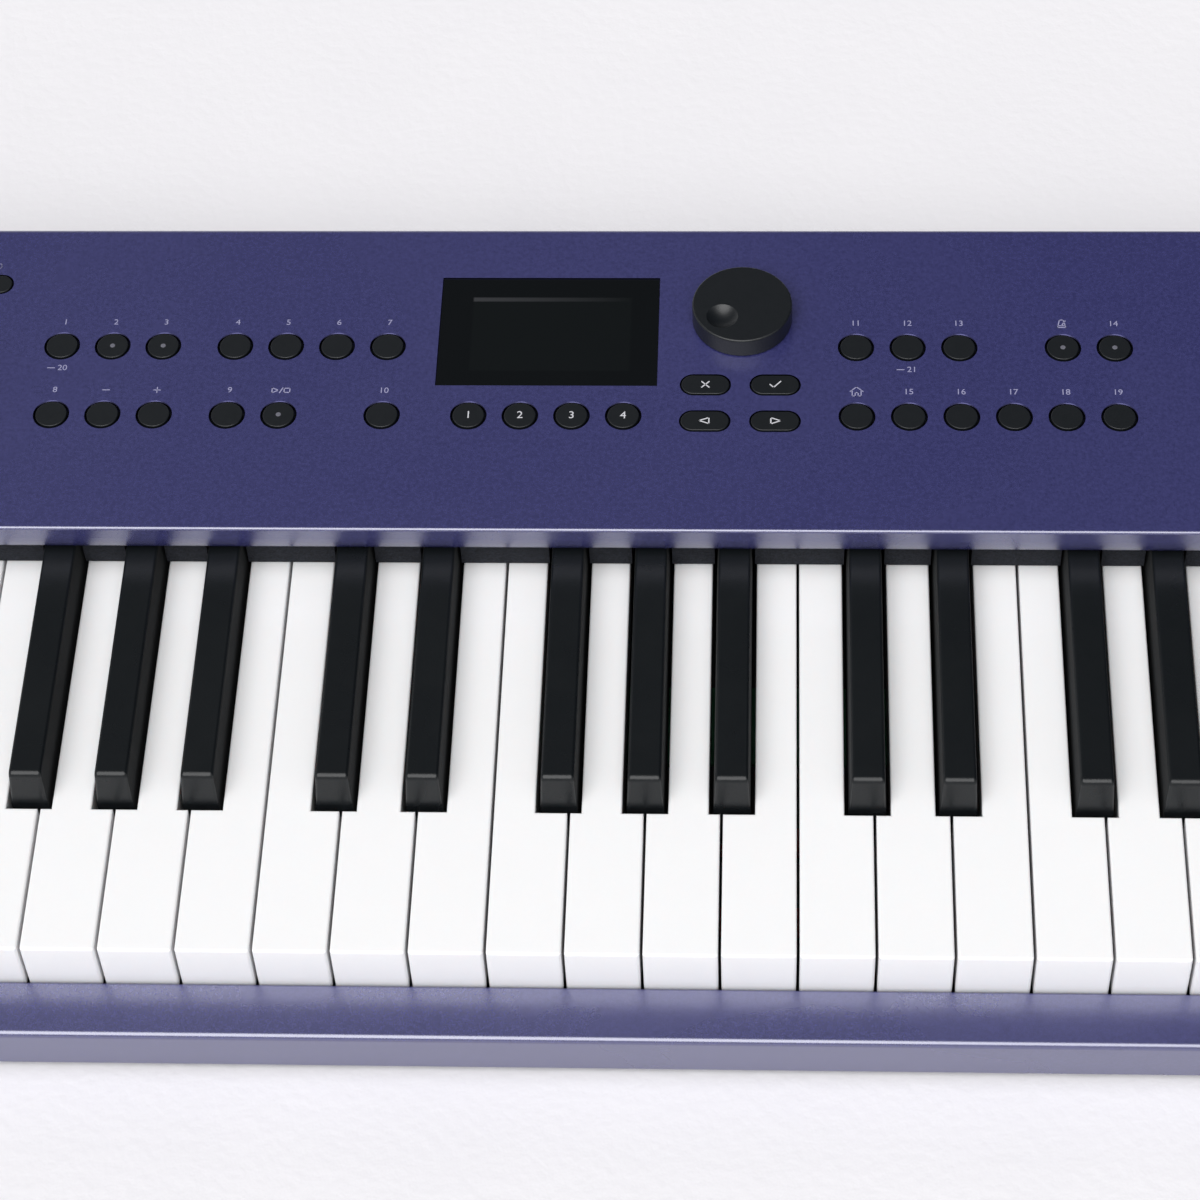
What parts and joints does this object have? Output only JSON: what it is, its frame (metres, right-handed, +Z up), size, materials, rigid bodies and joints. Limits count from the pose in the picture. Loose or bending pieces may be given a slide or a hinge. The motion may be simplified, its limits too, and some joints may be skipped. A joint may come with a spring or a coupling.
{
  "type": "arranger keyboard",
  "caption": "Slim deep-blue arranger keyboard: sprung white and black keys, a flat control panel with round buttons, a data dial and a small display, bend wheels, and rear jacks.",
  "frame": {"origin": "centre of the footprint, on the surface that the feet stand on", "axes": "+X along the keys towards the treble end, +Y away from the player, +Z up"},
  "size_m": [0.992, 0.2908, 0.08],
  "materials": {
    "case_blue": "satin deep violet-blue with a fine grain",
    "case_dark": "matt black moulding",
    "white_key": "glossy white key plastic",
    "black_key": "satin black key plastic",
    "control_black": "matt black control caps",
    "display_glass": "black tinted window, polished",
    "lcd_grey": "dark display module",
    "key_felt": "dense dark felt",
    "stop_felt": "red stop felt",
    "spring_steel": "bright steel",
    "board_green": "printed circuit board",
    "contact_rubber": "grey silicone domes",
    "foot_rubber": "black rubber",
    "connector_black": "black connector plastic",
    "speaker_metal": "black painted basket",
    "speaker_paper": "black paper cone",
    "contact_metal": "nickel-plated spring contacts",
    "screw_steel": "black screws",
    "wheel_rubber": "matt black wheels"
  },
  "bodies": {
    "case": {"top_case": "case_blue", "front_rail": "case_blue", "end_blocks": "case_blue", "bottom_case": "case_dark", "key_chassis": "case_dark", "pivot_rod": "spring_steel", "key_stop_felts": "stop_felt", "key_back_felt": "key_felt", "contact_board": "board_green", "contact_domes": "contact_rubber", "key_springs": "spring_steel", "main_board": "board_green", "panel_board": "board_green", "tact_switches": "connector_black", "display_window": "display_glass", "lcd_module": "lcd_grey", "speaker_drivers": "speaker_metal", "speaker_cones": "speaker_paper", "battery_contacts": "contact_metal", "rubber_feet": "foot_rubber", "case_screws": "screw_steel", "rear_connectors": "connector_black", "rotary_controls": "connector_black", "wheel_bracket": "case_dark"},
    "key_c_middle": {"key_c_middle": "white_key"},
    "keys_c_outer": {"keys_c_outer": "white_key"},
    "key_c_sharp_middle": {"key_c_sharp_middle": "black_key"},
    "keys_c_sharp_outer": {"keys_c_sharp_outer": "black_key"},
    "key_d_middle": {"key_d_middle": "white_key"},
    "keys_d_outer": {"keys_d_outer": "white_key"},
    "key_d_sharp_middle": {"key_d_sharp_middle": "black_key"},
    "keys_d_sharp_outer": {"keys_d_sharp_outer": "black_key"},
    "key_e_middle": {"key_e_middle": "white_key"},
    "keys_e_outer": {"keys_e_outer": "white_key"},
    "key_f_middle": {"key_f_middle": "white_key"},
    "keys_f_outer": {"keys_f_outer": "white_key"},
    "key_f_sharp_middle": {"key_f_sharp_middle": "black_key"},
    "keys_f_sharp_outer": {"keys_f_sharp_outer": "black_key"},
    "key_g_middle": {"key_g_middle": "white_key"},
    "keys_g_outer": {"keys_g_outer": "white_key"},
    "key_g_sharp_middle": {"key_g_sharp_middle": "black_key"},
    "keys_g_sharp_outer": {"keys_g_sharp_outer": "black_key"},
    "key_a_middle": {"key_a_middle": "white_key"},
    "keys_a_outer": {"keys_a_outer": "white_key"},
    "key_a_sharp_middle": {"key_a_sharp_middle": "black_key"},
    "keys_a_sharp_outer": {"keys_a_sharp_outer": "black_key"},
    "key_b_middle": {"key_b_middle": "white_key"},
    "keys_b_outer": {"keys_b_outer": "white_key"},
    "left_upper_buttons": {"left_upper_buttons": "control_black"},
    "left_lower_buttons": {"left_lower_buttons": "control_black"},
    "function_buttons": {"function_buttons": "control_black"},
    "right_upper_buttons": {"right_upper_buttons": "control_black"},
    "right_lower_buttons": {"right_lower_buttons": "control_black"},
    "navigation_buttons": {"navigation_buttons": "control_black"},
    "power_button": {"power_button": "control_black"},
    "data_dial": {"data_dial": "control_black"},
    "volume_knob": {"volume_knob": "control_black"},
    "pitch_wheel": {"pitch_wheel": "wheel_rubber"},
    "mod_wheel": {"mod_wheel": "wheel_rubber"},
    "battery_cover": {"battery_cover": "case_dark"}
  },
  "joints": [
    {"name": "key_c_middle_hinge", "type": "hinge", "parent": "case", "child": "key_c_middle", "pos_m": [0, 0.06, 0.036], "axis": [1, 0, 0], "range_deg": [0, 3.07], "stiffness_Nm_per_rad": 0.3, "springref_deg": -20.05},
    {"name": "keys_c_outer_hinge", "type": "hinge", "parent": "case", "child": "keys_c_outer", "pos_m": [0, 0.06, 0.036], "axis": [1, 0, 0], "range_deg": [0, 3.07], "stiffness_Nm_per_rad": 1.5, "springref_deg": -20.05},
    {"name": "key_c_sharp_middle_hinge", "type": "hinge", "parent": "case", "child": "key_c_sharp_middle", "pos_m": [0, 0.06, 0.036], "axis": [1, 0, 0], "range_deg": [0, 3.43], "stiffness_Nm_per_rad": 0.3, "springref_deg": -20.05},
    {"name": "keys_c_sharp_outer_hinge", "type": "hinge", "parent": "case", "child": "keys_c_sharp_outer", "pos_m": [0, 0.06, 0.036], "axis": [1, 0, 0], "range_deg": [0, 3.43], "stiffness_Nm_per_rad": 1.2, "springref_deg": -20.05},
    {"name": "key_d_middle_hinge", "type": "hinge", "parent": "case", "child": "key_d_middle", "pos_m": [0, 0.06, 0.036], "axis": [1, 0, 0], "range_deg": [0, 3.07], "stiffness_Nm_per_rad": 0.3, "springref_deg": -20.05},
    {"name": "keys_d_outer_hinge", "type": "hinge", "parent": "case", "child": "keys_d_outer", "pos_m": [0, 0.06, 0.036], "axis": [1, 0, 0], "range_deg": [0, 3.07], "stiffness_Nm_per_rad": 1.2, "springref_deg": -20.05},
    {"name": "key_d_sharp_middle_hinge", "type": "hinge", "parent": "case", "child": "key_d_sharp_middle", "pos_m": [0, 0.06, 0.036], "axis": [1, 0, 0], "range_deg": [0, 3.43], "stiffness_Nm_per_rad": 0.3, "springref_deg": -20.05},
    {"name": "keys_d_sharp_outer_hinge", "type": "hinge", "parent": "case", "child": "keys_d_sharp_outer", "pos_m": [0, 0.06, 0.036], "axis": [1, 0, 0], "range_deg": [0, 3.43], "stiffness_Nm_per_rad": 1.2, "springref_deg": -20.05},
    {"name": "key_e_middle_hinge", "type": "hinge", "parent": "case", "child": "key_e_middle", "pos_m": [0, 0.06, 0.036], "axis": [1, 0, 0], "range_deg": [0, 3.07], "stiffness_Nm_per_rad": 0.3, "springref_deg": -20.05},
    {"name": "keys_e_outer_hinge", "type": "hinge", "parent": "case", "child": "keys_e_outer", "pos_m": [0, 0.06, 0.036], "axis": [1, 0, 0], "range_deg": [0, 3.07], "stiffness_Nm_per_rad": 1.2, "springref_deg": -20.05},
    {"name": "key_f_middle_hinge", "type": "hinge", "parent": "case", "child": "key_f_middle", "pos_m": [0, 0.06, 0.036], "axis": [1, 0, 0], "range_deg": [0, 3.07], "stiffness_Nm_per_rad": 0.3, "springref_deg": -20.05},
    {"name": "keys_f_outer_hinge", "type": "hinge", "parent": "case", "child": "keys_f_outer", "pos_m": [0, 0.06, 0.036], "axis": [1, 0, 0], "range_deg": [0, 3.07], "stiffness_Nm_per_rad": 1.2, "springref_deg": -20.05},
    {"name": "key_f_sharp_middle_hinge", "type": "hinge", "parent": "case", "child": "key_f_sharp_middle", "pos_m": [0, 0.06, 0.036], "axis": [1, 0, 0], "range_deg": [0, 3.43], "stiffness_Nm_per_rad": 0.3, "springref_deg": -20.05},
    {"name": "keys_f_sharp_outer_hinge", "type": "hinge", "parent": "case", "child": "keys_f_sharp_outer", "pos_m": [0, 0.06, 0.036], "axis": [1, 0, 0], "range_deg": [0, 3.43], "stiffness_Nm_per_rad": 1.2, "springref_deg": -20.05},
    {"name": "key_g_middle_hinge", "type": "hinge", "parent": "case", "child": "key_g_middle", "pos_m": [0, 0.06, 0.036], "axis": [1, 0, 0], "range_deg": [0, 3.07], "stiffness_Nm_per_rad": 0.3, "springref_deg": -20.05},
    {"name": "keys_g_outer_hinge", "type": "hinge", "parent": "case", "child": "keys_g_outer", "pos_m": [0, 0.06, 0.036], "axis": [1, 0, 0], "range_deg": [0, 3.07], "stiffness_Nm_per_rad": 1.2, "springref_deg": -20.05},
    {"name": "key_g_sharp_middle_hinge", "type": "hinge", "parent": "case", "child": "key_g_sharp_middle", "pos_m": [0, 0.06, 0.036], "axis": [1, 0, 0], "range_deg": [0, 3.43], "stiffness_Nm_per_rad": 0.3, "springref_deg": -20.05},
    {"name": "keys_g_sharp_outer_hinge", "type": "hinge", "parent": "case", "child": "keys_g_sharp_outer", "pos_m": [0, 0.06, 0.036], "axis": [1, 0, 0], "range_deg": [0, 3.43], "stiffness_Nm_per_rad": 1.2, "springref_deg": -20.05},
    {"name": "key_a_middle_hinge", "type": "hinge", "parent": "case", "child": "key_a_middle", "pos_m": [0, 0.06, 0.036], "axis": [1, 0, 0], "range_deg": [0, 3.07], "stiffness_Nm_per_rad": 0.3, "springref_deg": -20.05},
    {"name": "keys_a_outer_hinge", "type": "hinge", "parent": "case", "child": "keys_a_outer", "pos_m": [0, 0.06, 0.036], "axis": [1, 0, 0], "range_deg": [0, 3.07], "stiffness_Nm_per_rad": 1.2, "springref_deg": -20.05},
    {"name": "key_a_sharp_middle_hinge", "type": "hinge", "parent": "case", "child": "key_a_sharp_middle", "pos_m": [0, 0.06, 0.036], "axis": [1, 0, 0], "range_deg": [0, 3.43], "stiffness_Nm_per_rad": 0.3, "springref_deg": -20.05},
    {"name": "keys_a_sharp_outer_hinge", "type": "hinge", "parent": "case", "child": "keys_a_sharp_outer", "pos_m": [0, 0.06, 0.036], "axis": [1, 0, 0], "range_deg": [0, 3.43], "stiffness_Nm_per_rad": 1.2, "springref_deg": -20.05},
    {"name": "key_b_middle_hinge", "type": "hinge", "parent": "case", "child": "key_b_middle", "pos_m": [0, 0.06, 0.036], "axis": [1, 0, 0], "range_deg": [0, 3.07], "stiffness_Nm_per_rad": 0.3, "springref_deg": -20.05},
    {"name": "keys_b_outer_hinge", "type": "hinge", "parent": "case", "child": "keys_b_outer", "pos_m": [0, 0.06, 0.036], "axis": [1, 0, 0], "range_deg": [0, 3.07], "stiffness_Nm_per_rad": 1.2, "springref_deg": -20.05},
    {"name": "left_upper_buttons_press", "type": "slide", "parent": "case", "child": "left_upper_buttons", "axis": [0, 0, -1], "range_m": [0, 0.0007], "stiffness_N_per_m": 1400, "springref_m": -0.005},
    {"name": "left_lower_buttons_press", "type": "slide", "parent": "case", "child": "left_lower_buttons", "axis": [0, 0, -1], "range_m": [0, 0.0007], "stiffness_N_per_m": 1200, "springref_m": -0.005},
    {"name": "function_buttons_press", "type": "slide", "parent": "case", "child": "function_buttons", "axis": [0, 0, -1], "range_m": [0, 0.0007], "stiffness_N_per_m": 800, "springref_m": -0.005},
    {"name": "right_upper_buttons_press", "type": "slide", "parent": "case", "child": "right_upper_buttons", "axis": [0, 0, -1], "range_m": [0, 0.0007], "stiffness_N_per_m": 1000, "springref_m": -0.005},
    {"name": "right_lower_buttons_press", "type": "slide", "parent": "case", "child": "right_lower_buttons", "axis": [0, 0, -1], "range_m": [0, 0.0007], "stiffness_N_per_m": 1200, "springref_m": -0.005},
    {"name": "navigation_buttons_press", "type": "slide", "parent": "case", "child": "navigation_buttons", "axis": [0, 0, -1], "range_m": [0, 0.0007], "stiffness_N_per_m": 800, "springref_m": -0.005},
    {"name": "power_button_press", "type": "slide", "parent": "case", "child": "power_button", "axis": [0, 0, -1], "range_m": [0, 0.0007], "stiffness_N_per_m": 200, "springref_m": -0.005},
    {"name": "data_dial_turn", "type": "hinge", "parent": "case", "child": "data_dial", "pos_m": [0.0519, 0.1045, 0.072], "axis": [0, 0, 1], "continuous": true},
    {"name": "volume_knob_turn", "type": "hinge", "parent": "case", "child": "volume_knob", "pos_m": [-0.2085, 0.084, 0.072], "axis": [0, 0, -1], "range_deg": [-150, 150]},
    {"name": "pitch_wheel_turn", "type": "hinge", "parent": "case", "child": "pitch_wheel", "pos_m": [-0.4708, 0.077, 0.059], "axis": [-1, 0, 0], "range_deg": [-45, 45], "stiffness_Nm_per_rad": 0.02},
    {"name": "mod_wheel_turn", "type": "hinge", "parent": "case", "child": "mod_wheel", "pos_m": [-0.4488, 0.077, 0.059], "axis": [-1, 0, 0], "range_deg": [0, 80]},
    {"name": "battery_cover_lift", "type": "slide", "parent": "case", "child": "battery_cover", "axis": [0, 0, -1], "range_m": [0, 0.03]}
  ]
}
